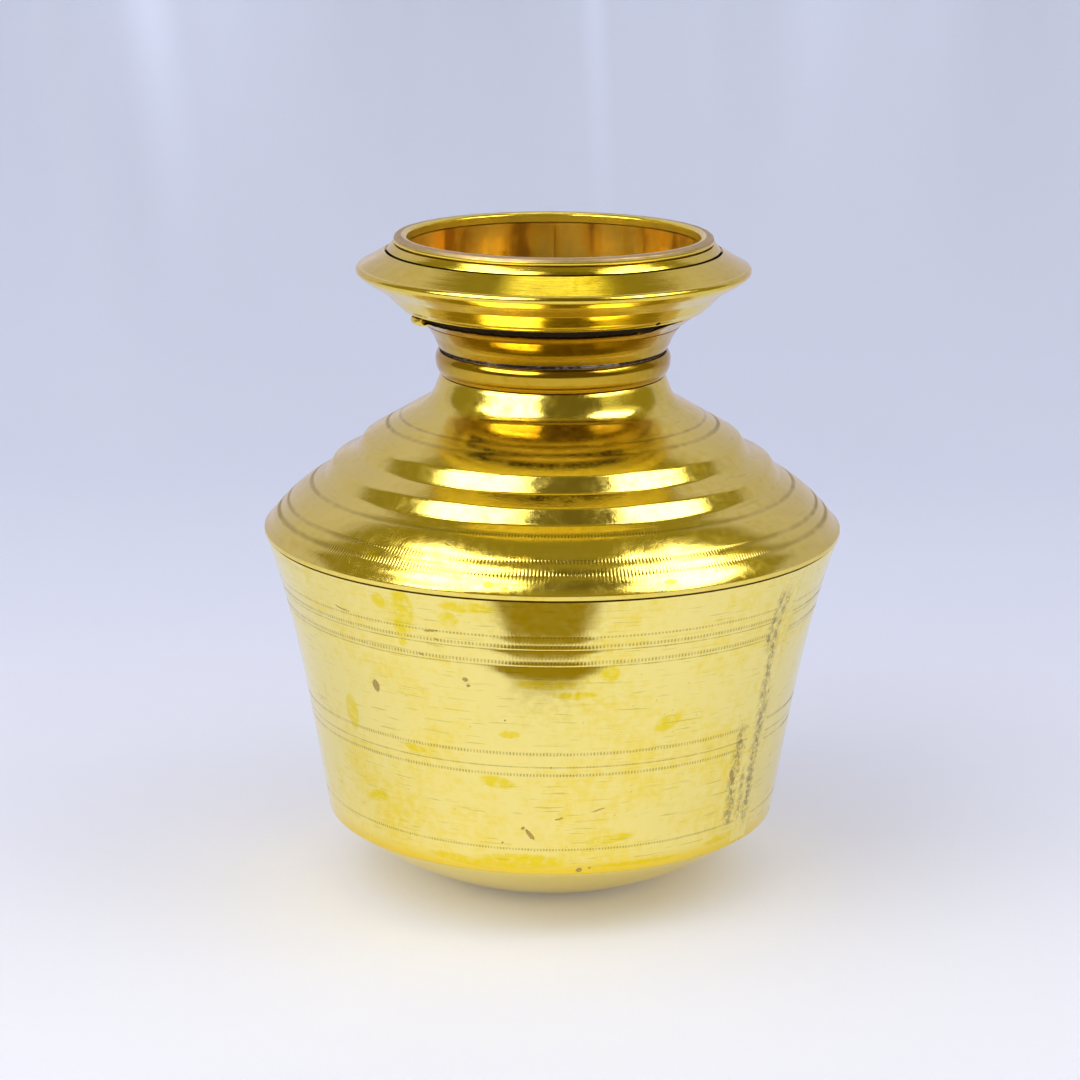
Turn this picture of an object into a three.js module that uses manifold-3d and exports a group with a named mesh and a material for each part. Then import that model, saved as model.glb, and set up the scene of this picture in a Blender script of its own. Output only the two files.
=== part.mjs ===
// A brass kalash: a household water and ceremony pot of thin brass sheet, spun and rolled in pieces
// and then brazed and soldered together. Millimetres, +Z up. The pot stands on z = 0 with its axis
// on the Z axis and its front towards -Y. Profiles are lists of [radius, height].
import * as THREE from "three";
import { mergeVertices } from "three/addons/utils/BufferGeometryUtils.js";
import Module from "manifold-3d";

const wasm = await Module();
wasm.setup();

// Whole pot
const SEGMENTS = 40; // flats round every turned piece
const SHEET = 1; // thickness of the brass sheet
const GAP = 0.3; // clearance between pieces that touch
const WELD = 1e-4; // vertices closer than this are one

// Bottom dish, part of a sphere with a flattened middle
const FOOT_RADIUS = 27.5; // flat spot that the pot rests on
const DISH_CURVE_RADIUS = 108.7;
const DISH_RADIUS = 68.6; // where the curve turns up inside the wall
const DISH_STEPS = 7;
const UPSTAND_LOW = [69.4, 22.2];
const UPSTAND_TOP = [69.9, 26.5];

// Braze fillets, triangles in section
const BASE_BRAZE = [[68.9, 26.8], [70.2, 26.8], [70.45, 28.6]];
const SHOULDER_BRAZE = [[84.4, 115.9], [85.9, 115.9], [84.9, 117.3]];

// Wall: its radius is a cubic in the share of the height from foot to top
const WALL_FOOT = 21.6;
const WALL_TOP = 111.3;
const WALL_CUBIC = [70.6, 15.2, -3.5, 7.2];
const WALL_STEPS = 9;
const WALL_TUCK = [88.5, 111.7]; // top edge tucked in under the shoulder
const WALL_END = [86.3, 115.4];

// Vertical butt seam of the wall, right of the front
const SEAM_AZIMUTH = 55;
const SEAM_SLOT = 2.4;
const SEAM_STRIP = SEAM_SLOT - 2 * GAP;
const SEAM_REACH = 120; // taller and deeper than the wall, so the cut goes right through

// Shoulder, from its lower edge up to the neck
const SHOULDER_EDGE = [[89.97, 111.9], [90, 112.5]];
const SHOULDER_LOW = [89.1, 113.8];
const RIDGE_2_LOW = [70.9, 129.4];
const RIDGE_2_TOP = [68.2, 133.7];
const RIDGE_1_LOW = [61.4, 136.5];
const RIDGE_1_TOP = [58.6, 141.1];
const ROOT_LOW = [41.5, 151.1];
const ROOT_TOP = [36.3, 156.8];
const NECK_LEDGE = [34.95, 160.6];
const SHOULDER_BULGE = 1.5; // how far the lower shoulder swells past a straight line
const ROOT_HOLLOW = -0.9; // how far the neck root sinks behind a straight line
const SHOULDER_STEPS = 7;
const ROOT_STEPS = 4;
const SPIGOT_RADIUS = 33.5; // neck of the shoulder, inside the bead
const SPIGOT_TOP = 165.5;

// Bead and solder round the neck
const BEAD_BORE = 33.85;
const BEAD_LOW = [34.9, 161];
const BEAD_EDGE = [36.4, 165];
const BEAD_TOP = [35.5, 168.2];
const BEAD_BULGE = 0.35;
const BEAD_STEPS = 3;
const SOLDER_BORE = 33.9;
const SOLDER_RADIUS = 35.1;
const SOLDER_LOW = 168.5;
const SOLDER_TOP = 169.1;

// Neck tube, and the flange that opens out from it to carry the rim
const NECK_TUBE = [[35.5, 169.4], [36.2, 170.9], [36.9, 172.8], [38.2, 174.8], [39.7, 176.7]];
const FLANGE = [[40.1, 177.1], [41.6, 178.4], [43.35, 179.6], [45.1, 180.9], [46.4, 181.9]];
const STUB_TOP = 178.9; // height left of the flange where it is torn away
const TEAR_LEFT = -70; // azimuth of each end of the tear
const TEAR_RIGHT = 50;
const TEAR_STEPS = 8;
const TEAR_JAG = 3.5; // degrees by which a torn end wanders
const TEAR_HEIGHT = 6;
const TEAR_REACH = 60;
const TEAR_CORE = 30;

// Rim shell, from its lower inner edge round the sharp outer edge to the foot of the lip
const RIM_UNDERSIDE = [[47.3, 182.4], [48.9, 183.5], [51, 185.8], [52.5, 187.2], [58.7, 190.9]];
const RIM_EDGE_LOW = [60.3, 192.2];
const RIM_EDGE_TOP = [59.6, 194.6];
const RIM_EDGE_BULGE = 0.85;
const RIM_EDGE_STEPS = 3;
const RIM_SLOPE_TOP = [51.9, 199.1];

// Band and lip round the mouth
const BAND = [[47, 199.4], [51.25, 199.4], [50.6, 200.3], [49.55, 201.4], [47, 201.4]];
const LIP = [
  [44.95, 200.9],
  [46.6, 200.9],
  [47.2, 201.75],
  [49.1, 201.75],
  [49.25, 202.3],
  [48.9, 203.4],
  [48.3, 203.8],
  [46, 203.8],
  [45.1, 203.2],
];

// Mouth liner: the straight tube inside the rim
const MOUTH_RADIUS = 45;
const LINER_LOW = 183;
const LINER_TOP = 200.55;

// The finish of each kind of brass
const FINISHES = {
  polished: { color: 0xd8b84a, roughness: 0.2, metalness: 1 },
  satin: { color: 0xe3cd72, roughness: 0.32, metalness: 1 },
  turned: { color: 0xc9a53a, roughness: 0.22, metalness: 1 },
  lip: { color: 0xa9854f, roughness: 0.5, metalness: 1 },
  amber: { color: 0xc98f2c, roughness: 0.25, metalness: 1 },
  braze: { color: 0x6f5a2c, roughness: 0.65, metalness: 0.8 },
  solder: { color: 0x4d4a3a, roughness: 0.6, metalness: 0.7 },
};

const pot = new THREE.Group();
pot.name = "brass_kalash_pot";

// Points of a circular arc from one point to the other, swelling to the right of the way it runs.
function arc(from, to, bulge, steps) {
  const start = new THREE.Vector2(...from);
  const run = new THREE.Vector2(...to).sub(start);
  const half = run.length() / 2;
  const radius = (half * half + bulge * bulge) / (2 * bulge);
  const spread = Math.asin(half / radius);
  const along = run.clone().normalize();
  const across = new THREE.Vector2(along.y, -along.x);
  const points = [];
  for (let i = 0; i <= steps; i++) {
    const angle = ((2 * i) / steps - 1) * spread;
    const forward = half + radius * Math.sin(angle);
    const outward = radius * (Math.cos(angle) - Math.cos(spread));
    const point = start.clone().addScaledVector(along, forward).addScaledVector(across, outward);
    points.push([point.x, point.y]);
  }
  return points;
}

// The same line moved inwards, to the left of the way it runs, by the thickness of the sheet.
function inset(line, thickness) {
  return line.map((point, i) => {
    const here = new THREE.Vector2(...point);
    const before = new THREE.Vector2(...line[Math.max(i - 1, 0)]);
    const after = new THREE.Vector2(...line[Math.min(i + 1, line.length - 1)]);
    const arriving = here.clone().sub(before).normalize();
    const leaving = after.sub(here).normalize();
    const middle = arriving.clone().add(leaving).normalize();
    const lean = Math.max(middle.dot(arriving), middle.dot(leaving));
    return [here.x - (middle.y * thickness) / lean, here.y + (middle.x * thickness) / lean];
  });
}

// A closed body turned round the Z axis from a profile that runs anticlockwise.
function turned(profile) {
  const points = profile.map(([radius, height]) => new THREE.Vector2(radius, height));
  const raw = new THREE.LatheGeometry([...points, points[0]], SEGMENTS);
  raw.rotateX(Math.PI / 2);
  return welded(raw);
}

// One index for each place, and no face that has lost its area.
function welded(raw) {
  const bare = new THREE.BufferGeometry();
  bare.setAttribute("position", raw.getAttribute("position"));
  bare.setIndex(raw.index);
  const merged = mergeVertices(bare, WELD);
  const kept = [];
  const index = merged.index.array;
  for (let i = 0; i < index.length; i += 3) {
    const [a, b, c] = [index[i], index[i + 1], index[i + 2]];
    if (a !== b && b !== c && c !== a) kept.push(a, b, c);
  }
  merged.setIndex(kept);
  return merged;
}

// A sheet of even thickness behind an outer line that runs upwards.
function sheet(outer) {
  return turned([...outer, ...inset(outer, SHEET).reverse()]);
}

function toManifold(geometry) {
  return new wasm.Manifold(
    new wasm.Mesh({
      numProp: 3,
      vertProperties: new Float32Array(geometry.getAttribute("position").array),
      triVerts: new Uint32Array(geometry.index.array),
    }),
  );
}

function fromManifold(solid) {
  const mesh = solid.getMesh();
  const geometry = new THREE.BufferGeometry();
  geometry.setAttribute("position", new THREE.BufferAttribute(mesh.vertProperties, 3));
  geometry.setIndex(new THREE.BufferAttribute(mesh.triVerts, 1));
  return geometry;
}

function add(name, geometry, finish) {
  const mesh = new THREE.Mesh(geometry, new THREE.MeshStandardMaterial(FINISHES[finish]));
  mesh.name = name;
  mesh.material.name = finish;
  mesh.geometry.computeVertexNormals();
  pot.add(mesh);
}

// The bottom: a flat spot, the curve of the dish, and an edge turned up inside the wall.
function baseDish() {
  const centre = Math.sqrt(DISH_CURVE_RADIUS ** 2 - FOOT_RADIUS ** 2);
  const outer = [];
  for (let i = 0; i <= DISH_STEPS; i++) {
    const radius = FOOT_RADIUS + ((DISH_RADIUS - FOOT_RADIUS) * i) / DISH_STEPS;
    outer.push([radius, centre - Math.sqrt(DISH_CURVE_RADIUS ** 2 - radius ** 2)]);
  }
  outer.push(UPSTAND_LOW, UPSTAND_TOP);
  const inner = inset(outer, SHEET);
  inner[0][1] = SHEET;
  return turned([[0, 0], ...outer, ...inner.reverse(), [0, SHEET]]);
}

// Outside radius of the wall at a share of its height.
function wallRadius(share) {
  return WALL_CUBIC.reduce((sum, factor, power) => sum + factor * share ** power, 0);
}

function wallOuter() {
  const outer = [];
  for (let i = 0; i <= WALL_STEPS; i++) {
    const share = i / WALL_STEPS;
    outer.push([wallRadius(share), WALL_FOOT + (WALL_TOP - WALL_FOOT) * share]);
  }
  return [...outer, WALL_TUCK, WALL_END];
}

// An upright slab through the wall where its two edges meet.
function seamSlab(width) {
  const slab = new THREE.BoxGeometry(width, SEAM_REACH, SEAM_REACH);
  slab.translate(0, -SEAM_REACH / 2, SEAM_REACH / 2);
  slab.rotateZ(THREE.MathUtils.degToRad(SEAM_AZIMUTH));
  return toManifold(welded(slab));
}

// The shoulder: rolled lower edge, two stepped ridges, concave root and the spigot in the bead.
function shoulderOuter() {
  return [
    ...SHOULDER_EDGE,
    ...arc(SHOULDER_LOW, RIDGE_2_LOW, SHOULDER_BULGE, SHOULDER_STEPS),
    RIDGE_2_TOP,
    RIDGE_1_LOW,
    RIDGE_1_TOP,
    ...arc(ROOT_LOW, ROOT_TOP, ROOT_HOLLOW, ROOT_STEPS),
    NECK_LEDGE,
    [SPIGOT_RADIUS, NECK_LEDGE[1] + GAP],
    [SPIGOT_RADIUS, SPIGOT_TOP],
  ];
}

function bead() {
  const lower = arc(BEAD_LOW, BEAD_EDGE, BEAD_BULGE, BEAD_STEPS);
  const upper = arc(BEAD_EDGE, BEAD_TOP, BEAD_BULGE, BEAD_STEPS);
  return turned([[BEAD_BORE, BEAD_LOW[1]], ...lower, ...upper.slice(1), [BEAD_BORE, BEAD_TOP[1]]]);
}

// A hoop of rectangular section.
function hoop(bore, radius, low, top) {
  return turned([[bore, low], [radius, low], [radius, top], [bore, top]]);
}

// The wedge of metal that has torn out of the flange, with ragged ends.
function tearWedge() {
  const at = (degrees, radius) => {
    const azimuth = THREE.MathUtils.degToRad(degrees);
    return new THREE.Vector2(radius * Math.sin(azimuth), -radius * Math.cos(azimuth));
  };
  const outline = [at(TEAR_RIGHT + TEAR_JAG, TEAR_REACH), at(TEAR_RIGHT, TEAR_CORE)];
  for (let i = 1; i < TEAR_STEPS; i++) {
    outline.push(at(TEAR_RIGHT + ((TEAR_LEFT - TEAR_RIGHT) * i) / TEAR_STEPS, TEAR_CORE));
  }
  outline.push(at(TEAR_LEFT, TEAR_CORE), at(TEAR_LEFT + TEAR_JAG, TEAR_REACH));
  for (let i = 1; i < TEAR_STEPS; i++) {
    outline.push(at(TEAR_LEFT + ((TEAR_RIGHT - TEAR_LEFT) * i) / TEAR_STEPS, TEAR_REACH));
  }
  const wedge = new THREE.ExtrudeGeometry(new THREE.Shape(outline), {
    depth: TEAR_HEIGHT,
    bevelEnabled: false,
  });
  wedge.translate(0, 0, STUB_TOP);
  return toManifold(mergeVertices(positionsOnly(wedge), WELD));
}

function positionsOnly(geometry) {
  const bare = new THREE.BufferGeometry();
  bare.setAttribute("position", geometry.getAttribute("position"));
  return bare;
}

function rimOuter() {
  return [
    ...RIM_UNDERSIDE,
    ...arc(RIM_EDGE_LOW, RIM_EDGE_TOP, RIM_EDGE_BULGE, RIM_EDGE_STEPS),
    RIM_SLOPE_TOP,
  ];
}

const fullWall = toManifold(sheet(wallOuter()));
const fullFlange = toManifold(sheet(FLANGE));

add("base_dish", baseDish(), "satin");
add("base_braze", turned(BASE_BRAZE), "braze");
add("wall", fromManifold(fullWall.subtract(seamSlab(SEAM_SLOT))), "satin");
add("wall_seam", fromManifold(fullWall.intersect(seamSlab(SEAM_STRIP))), "braze");
add("shoulder", sheet(shoulderOuter()), "polished");
add("shoulder_braze", turned(SHOULDER_BRAZE), "braze");
add("neck_bead", bead(), "polished");
add("neck_solder", hoop(SOLDER_BORE, SOLDER_RADIUS, SOLDER_LOW, SOLDER_TOP), "solder");
add("neck_tube", sheet(NECK_TUBE), "polished");
add("neck_flange", fromManifold(fullFlange.subtract(tearWedge())), "turned");
add("rim_shell", sheet(rimOuter()), "turned");
add("lip_band", turned(BAND), "turned");
add("lip_ring", turned(LIP), "lip");
add("mouth_liner", hoop(MOUTH_RADIUS, MOUTH_RADIUS + SHEET, LINER_LOW, LINER_TOP), "amber");

export default pot;
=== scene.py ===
"""Looks of the brass kalash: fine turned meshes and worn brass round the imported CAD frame."""
import math

import bmesh
import bpy
import numpy as np
from mathutils import Matrix, Vector, noise


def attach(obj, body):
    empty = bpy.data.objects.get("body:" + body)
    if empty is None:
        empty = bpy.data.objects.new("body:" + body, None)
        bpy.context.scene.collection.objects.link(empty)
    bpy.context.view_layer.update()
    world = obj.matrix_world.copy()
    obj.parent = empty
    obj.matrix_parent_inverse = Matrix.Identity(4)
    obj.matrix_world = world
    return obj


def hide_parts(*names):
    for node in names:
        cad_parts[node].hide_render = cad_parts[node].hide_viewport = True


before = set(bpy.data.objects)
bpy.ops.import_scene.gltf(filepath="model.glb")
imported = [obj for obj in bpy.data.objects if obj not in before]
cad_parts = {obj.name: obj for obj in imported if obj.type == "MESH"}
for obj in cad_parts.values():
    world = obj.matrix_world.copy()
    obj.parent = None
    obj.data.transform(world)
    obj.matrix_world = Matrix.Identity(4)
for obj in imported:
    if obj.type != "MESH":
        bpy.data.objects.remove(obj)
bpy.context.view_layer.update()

MM = 0.001  # profiles below are [radius, height] in millimetres
MICRON = 0.000001
SHEET = 1.0  # thickness of the brass sheet
TEETH = 489  # tooth marks round each chased line
FINE_COLUMNS = 3 * TEETH
COLUMNS = 540
SHARP_ANGLE = 50
ARC_RADIUS = 80.0  # marks are placed along the arc at this radius

# Bottom dish
FOOT_RADIUS = 27.5
DISH_CURVE_RADIUS = 108.7
DISH_RADIUS = 68.6
UPSTAND = [[69.4, 22.2], [69.9, 26.5]]
BASE_BRAZE = [[68.9, 26.8], [70.2, 26.8], [70.45, 28.6]]
SHOULDER_BRAZE = [[84.4, 115.9], [85.9, 115.9], [84.9, 117.3]]

# Wall: its radius is a cubic in the share of the height from foot to top
WALL_FOOT = 21.6
WALL_TOP = 111.3
WALL_CUBIC = [70.6, 15.2, -3.5, 7.2]
WALL_HOOK = [[88.5, 111.7], [86.3, 115.4]]
SEAM_AZIMUTH = 55
SEAM_SLOT = 2.4
# Rows of pits by the seam: azimuth, half width, lowest and highest point, strength
SEAM_ROWS = [
    [55.3, 1.6, 26, 76, 1.0],
    [54.0, 1.2, 66, 108, 0.8],
    [51.8, 1.0, 84, 109, 0.7],
    [48.2, 1.5, 27, 66, 0.85],
    [52.0, 1.0, 28, 50, 0.6],
]
SEAM_HALF_WIDTH = 5.0  # of the brazed strip that covers the slot
SEAM_COLUMNS = 44
SEAM_GRID_ROWS = 280
# Tool lines of the wall: height, half height, depth, share of the depth cut by teeth
WALL_LINES = [
    [99.9, 0.4, 0.03, 0.9],
    [96.9, 0.6, 0.09, 0.9],
    [95.6, 0.22, 0.05, 0.2],
    [91.6, 0.65, 0.08, 0.9],
    [90.3, 0.25, 0.05, 0.3],
    [61.7, 0.6, 0.08, 0.9],
    [57.4, 0.25, 0.04, 0.4],
    [54.8, 0.55, 0.07, 0.9],
    [30.1, 0.4, 0.05, 0.9],
]

# Shoulder
SHOULDER_EDGE = [[89.3, 111.9], [89.97, 112.0], [90.0, 112.5], [89.95, 113.2]]
SHOULDER_LOW = [89.1, 113.8]
RIDGE_2_LOW = [70.9, 129.4]
RIDGE_2_TOP = [68.2, 133.7]
RIDGE_1_LOW = [61.4, 136.5]
RIDGE_1_TOP = [58.6, 141.1]
ROOT_LOW = [41.5, 151.1]
ROOT_TOP = [36.3, 156.8]
SHOULDER_BULGE = 1.5
ROOT_HOLLOW = -0.9
NECK_STEP = [[35.4, 159.2], [34.95, 160.4], [34.6, 160.75]]
SPIGOT = [[33.5, 160.9], [33.5, 165.5]]
SHOULDER_LINES = [
    [118.4, 0.75, 0.16, 1.0],
    [121.4, 0.6, 0.13, 0.9],
    [127.0, 0.5, 0.11, 0.9],
    [145.3, 0.45, 0.08, 0.9],
    [147.6, 0.3, 0.05, 0.4],
]
# Dents: azimuth, height, half width, half height, depth
SHOULDER_DENTS = [[19, 122.5, 6.0, 3.5, -0.32], [27, 119.5, 4.0, 2.0, 0.14]]

# Neck
BEAD = [[34.9, 161.0], [36.4, 165.0], [35.5, 168.2]]
BEAD_BORE = 33.85
BEAD_BULGE = 0.35
SOLDER = [33.9, 35.1, 168.5, 169.1]
NECK_TUBE = [[35.5, 169.4], [36.2, 170.9], [36.9, 172.8], [38.2, 174.8], [39.7, 176.7]]
FLANGE_COLUMNS = 720
FLANGE_ROWS = 12
FLANGE = [[40.1, 177.1], [41.6, 178.4], [43.35, 179.6], [45.1, 180.9], [46.4, 181.9]]
TEAR = [[-65, 1.0], [-62.5, 0.36], [43, 0.36], [50, 0.80], [66, 0.90], [80, 1.0]]  # share left standing
TEAR_CURLS = [[-64.5, 2.6, 0.4], [50, 4.0, 0.9]]  # azimuth, half width, how far the torn end curls out
# Nearly black filler in the tear's gap: painted shade, with some dirt and flux
SHADE_CRUST_FRONT = [[41.9, 179.35], [46.3, 182.6]]
SHADE_CRUST_BACK = [[45.9, 183.1], [41.0, 180.1]]
SHADE_CRUST_LUMP = [41, 2.4, 1.7]  # azimuth, half width, height
FLAP = [[43.0, 179.2], [45.4, 178.7], [46.8, 179.5], [46.9, 180.9], [45.4, 182.0]]
FLAP_AZIMUTHS = [-67.0, -59.5]
FLAP_TOP = 181.8

# Rim and mouth
RIM_UNDERSIDE = [[47.3, 182.4], [48.9, 183.5], [51.0, 185.8], [52.5, 187.2], [58.7, 190.9]]
RIM_LOW_RING = [46.95, 181.8]
RIM_EDGE = [[60.3, 192.2], [59.6, 194.6]]
RIM_EDGE_BULGE = 0.85
RIM_SLOPE_TOP = [51.9, 199.1]
BAND = [[47.0, 199.4], [51.25, 199.4], [50.6, 200.3], [49.55, 201.4], [47.0, 201.4]]
LIP = [
    [44.95, 200.9], [46.6, 200.9], [47.2, 201.75], [49.1, 201.75], [49.25, 202.3],
    [48.9, 203.4], [48.3, 203.8], [46.0, 203.8], [45.1, 203.2],
]
MOUTH_RADIUS = 45.0
LINER_LOW = 183.0
LINER_TOP = 200.55
LIP_MATT = [46.8, 203.0]  # the lip is matt outside this radius and above this height

# Colours of the brass's wear, and of the painted shade in the tool lines' tooth hollows
TARNISH_COLOUR = (0.90, 0.70, 0.01, 1)
SCRATCH_COLOUR = (0.50, 0.40, 0.08, 1)
LINE_DIRT_AND_SHADE_COLOUR = (0.52, 0.40, 0.10, 1)
FOOT_BAND_COLOUR = (0.91, 0.64, 0.01, 1)
SEAM_STAIN_COLOUR = (0.38, 0.285, 0.11, 1)
SEAM_PIT_COLOUR = (0.17, 0.135, 0.055, 1)
SPECK_COLOUR = (0.18, 0.13, 0.04, 1)
DOT_COLOUR = (0.42, 0.32, 0.08, 1)
SPOT_EDGE_COLOUR = (0.27, 0.18, 0.045, 1)
SPOT_COLOUR = (0.60, 0.42, 0.12, 1)
MARK_WANDER = 1.6  # how far a mark's edge wanders, in millimetres
SCRATCH_TURNS = [(2.0, 0.645), (24.0, 0.69), (-31.0, 0.70)]  # lean, and how rare the scratches are

# Cloth that makes the floor and the backdrop, in metres
CLOTH_START = 0.55  # metres behind the pot where the cloth begins to rise
CLOTH_RADIUS = 0.50
CLOTH_HALF_WIDTH = 2.06
CLOTH_TOP = 1.18  # length of its upright stretch
FLOOR_REACH = 7.0
# Cloth colour from front to back: [metres behind the pot, colour]
CLOTH_COLOURS = [
    [-0.14, (0.85, 0.86, 0.91)],
    [0.03, (0.765, 0.775, 0.86)],
    [0.34, (0.665, 0.69, 0.80)],
    [0.72, (0.555, 0.59, 0.70)],
    [0.98, (0.495, 0.53, 0.63)],
]
# Painted highlights of the cloth's folds: [metres right of the pot, half width, sideways lean, brightness]
CLOTH_FOLD_HIGHLIGHTS = [
    [-0.262, 0.012, -0.13, 0.26],
    [-0.235, 0.035, -0.10, 0.13],
    [-0.178, 0.030, 0.0, 0.10],
    [0.022, 0.006, -0.02, 0.17],
    [0.045, 0.035, 0.0, 0.06],
    [0.165, 0.018, 0.06, 0.09],
    [0.235, 0.030, 0.09, 0.08],
]
MIRRORED_TINT = (1.04, 0.91, 0.95, 1)  # painted reflection: the far cloth takes this duller, warmer tint only where reflections see it
POT_GLOW = (0.165, 0.142, 0.128, 1)  # painted light: a warm glow in the cloth round the pot's foot, for the light the brass throws on it
FILL = (0.082, 0.082, 0.105, 1)  # painted light: a faint glow in the whole cloth that lifts its shadows

# Room and lights
ROOM_FRONT = (0.145, 0.12, 0.035, 1)  # darker in front, where the camera stands
ROOM = (0.275, 0.235, 0.05, 1)  # the dim warm room that the brass mirrors
AMBIENT = (0.685, 0.69, 0.745, 1)  # the soft light that the cloth gets from all round
SURROUND = (0.66, 0.70, 0.84, 1)  # what shows past the edges of the cloth
PANEL_SHARE = 0.40  # share of a panel's light that falls on matt surfaces
WHITE_LIGHT = (1.0, 0.99, 0.97)
# Soft light panels as the pot sees them: azimuths, elevations, distance, colour, strength
PANELS = {
    "soft_light_left": [(-83, -13), (21, 59), 2.4, WHITE_LIGHT, 6.2],
    "soft_light_left_high": [(-106, -14), (53, 68), 2.5, WHITE_LIGHT, 6.2],
    "soft_light_right": [(44, 98), (33, 59), 2.4, WHITE_LIGHT, 6.2],
    "soft_light_right_high": [(48, 108), (53, 66), 2.5, WHITE_LIGHT, 5.5],
    "soft_light_right_low": [(48, 99), (22, 40), 2.5, (1.0, 0.95, 0.60), 0.9],
    "soft_light_top": [(147, 210), (64, 74), 2.4, (1.0, 0.95, 0.40), 1.8],
}
PANEL_MIDDLE = 0.12  # height of the point that the panels face
PANEL_FADE = 0.16  # share of a panel's half width over which its edge fades
CARD_HALF_WIDTH = 0.07
CARD_LOW = 0.020
CARD_TOP = 0.075
CARD_FRONT = -0.130  # the card's place along Y
CARD_COLOUR = (0.29, 0.215, 0.004)

# Camera, fitted to the outline of the pot: metres and degrees
CAMERA_DISTANCE = 0.9424
CAMERA_HEIGHT_ANGLE = 14.1
CAMERA_AIM = (0.0, 0.0, 0.11238)
CAMERA_PAN = 0.2349
CAMERA_TILT = 14.425
CAMERA_ROLL = 0.30
CAMERA_LENS = 100


# ---- profiles

def fine(line, step):
    """The same line with a point at least every step."""
    out = [np.array(line[0], float)]
    for a, b in zip(line, line[1:]):
        a, b = np.array(a, float), np.array(b, float)
        count = max(1, math.ceil(np.linalg.norm(b - a) / step))
        out += [a + (b - a) * i / count for i in range(1, count + 1)]
    return out


def soften(line, cut, steps=4):
    """The line with each inner corner rounded by a curve that starts `cut` from it."""
    line = [np.array(p, float) for p in line]
    out = [line[0]]
    for a, b, c in zip(line, line[1:], line[2:]):
        to_a, to_c = a - b, c - b
        near_a = b + to_a * min(cut / np.linalg.norm(to_a), 0.45)
        near_c = b + to_c * min(cut / np.linalg.norm(to_c), 0.45)
        for i in range(steps + 1):
            t = i / steps
            out.append((1 - t) ** 2 * near_a + 2 * t * (1 - t) * b + t * t * near_c)
    out.append(line[-1])
    return out


def arc(start, end, bulge, steps):
    """Points of a circular arc, swelling to the right of the way it runs."""
    start, run = np.array(start, float), np.array(end, float) - np.array(start, float)
    half = np.linalg.norm(run) / 2
    radius = (half * half + bulge * bulge) / (2 * bulge)
    spread = math.asin(half / radius)
    along = run / np.linalg.norm(run)
    across = np.array([along[1], -along[0]])
    points = []
    for i in range(steps + 1):
        angle = (2 * i / steps - 1) * spread
        forward = half + radius * math.sin(angle)
        outward = radius * (math.cos(angle) - math.cos(spread))
        points.append(start + along * forward + across * outward)
    return points


def inset(line, thickness):
    """The line moved to the left of the way it runs."""
    line = np.array(line, float)
    run = np.gradient(line, axis=0)
    run /= np.linalg.norm(run, axis=1)[:, None]
    return line + np.stack([-run[:, 1], run[:, 0]], 1) * thickness


def mitred(line, thickness):
    """The corners of the line moved to its left, so that every stretch moves by the thickness."""
    out = []
    for i, here in enumerate(np.array(line, float)):
        ways = [np.array(b, float) - np.array(a, float)
                for a, b in ((line[max(i - 1, 0)], line[i]), (line[i], line[min(i + 1, len(line) - 1)]))]
        ways = [way / np.linalg.norm(way) for way in ways if np.linalg.norm(way) > 0]
        middle = sum(ways) / np.linalg.norm(sum(ways))
        lean = max(middle @ way for way in ways)
        out.append(here + np.array([-middle[1], middle[0]]) * thickness / lean)
    return out


def sheet_loop(outer, thickness=SHEET, inner_points=9):
    """A closed section: the outer line, and the inner line back with fewer points."""
    inner = inset(outer, thickness)[::-1]
    pick = np.unique(np.linspace(0, len(inner) - 1, inner_points).round().astype(int))
    return np.vstack([np.array(outer, float), inner[pick]]), len(outer)


# ---- meshes

def place_mesh(mesh):
    """Puts an object of the mesh's own name into the scene."""
    piece = bpy.data.objects.new(mesh.name, mesh)
    bpy.context.scene.collection.objects.link(piece)
    return piece


def finish_mesh(mesh, material, slot, *nodes, inside=None):
    """Makes a piece of the mesh that rides on the root and stands for the CAD nodes.
    A material for the inside goes to the faces that `line_inside` marked."""
    mesh.polygons.foreach_set("use_smooth", np.ones(len(mesh.polygons), bool))
    mesh.set_sharp_from_angle(angle=math.radians(SHARP_ANGLE))
    mesh.update()
    piece = place_mesh(mesh)
    piece.data.materials.append(material)
    if inside is not None:
        piece.data.materials.append(inside)
    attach(piece, "root")
    if nodes:
        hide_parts(*nodes)
    return piece


def grid_mesh(name, points, closed_round):
    """A closed mesh from points[column][row], whose rows close into a loop."""
    columns, rows = points.shape[:2]
    index = np.arange(columns * rows).reshape(columns, rows)
    right = np.roll(index, -1, 0) if closed_round else index[1:]
    left = index if closed_round else index[:-1]
    up_left, up_right = np.roll(left, -1, 1), np.roll(right, -1, 1)
    quads = np.stack([left, right, up_right, up_left], -1).reshape(-1, 4).tolist()
    if not closed_round:
        quads += [index[0].tolist(), index[-1].tolist()[::-1]]
    mesh = bpy.data.meshes.new(name)
    mesh.from_pydata((points.reshape(-1, 3) * MM).tolist(), [], quads)
    return mesh


def line_inside(mesh, rows, skin):
    """Marks the quads between a section's inner points, for the second material."""
    count = len(mesh.polygons)
    row = np.arange(count) % rows
    mesh.polygons.foreach_set("material_index", (row >= skin).astype(np.int32))


def merge_poles(mesh):
    work = bmesh.new()
    work.from_mesh(mesh)
    bmesh.ops.remove_doubles(work, verts=work.verts, dist=1e-7)
    work.to_mesh(mesh)
    work.free()


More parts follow.
